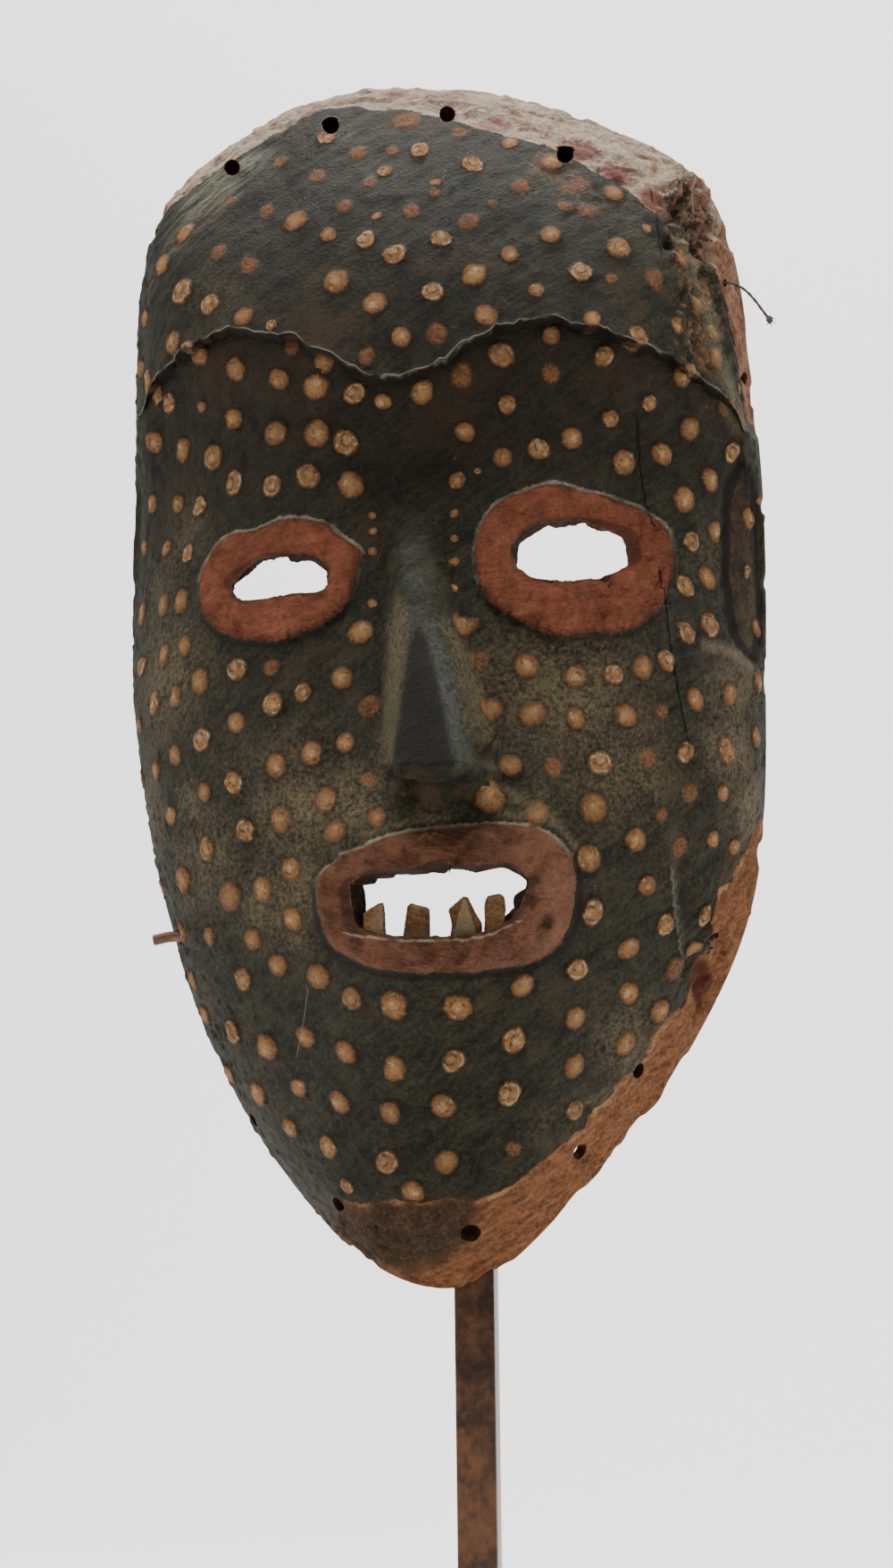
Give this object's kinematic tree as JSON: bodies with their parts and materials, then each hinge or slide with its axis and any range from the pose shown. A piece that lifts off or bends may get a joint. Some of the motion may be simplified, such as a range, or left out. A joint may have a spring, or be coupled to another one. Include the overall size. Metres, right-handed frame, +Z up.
{
  "type": "carved face mask on display stand",
  "caption": "Elongated hollow face mask of carved, painted wood with pierced eyes and toothed mouth, rim holes for a costume fringe, held upright on a square-post display stand",
  "frame": {"origin": "middle of the underside of the stand's square base plate, on the axis of the post", "axes": "+Z up along the post, the mask faces -Y, +X to the viewer's right"},
  "size_m": [0.1692, 0.1357, 0.4305],
  "materials": {
    "painted_wood": "worn dark grey-green paint with dabbed ochre dots, red-brown rings round eyes and mouth, bare brown wood at the rim",
    "plant_fibre": "matte twisted fibre",
    "rod_steel": "thin brown patina paint",
    "stand_steel": "satin mottled brown patina"
  },
  "bodies": {
    "root": {"mask": "painted_wood", "thread": "plant_fibre", "cradle_rod": "rod_steel", "stand_post": "stand_steel", "stand_base": "stand_steel"}
  },
  "joints": []
}
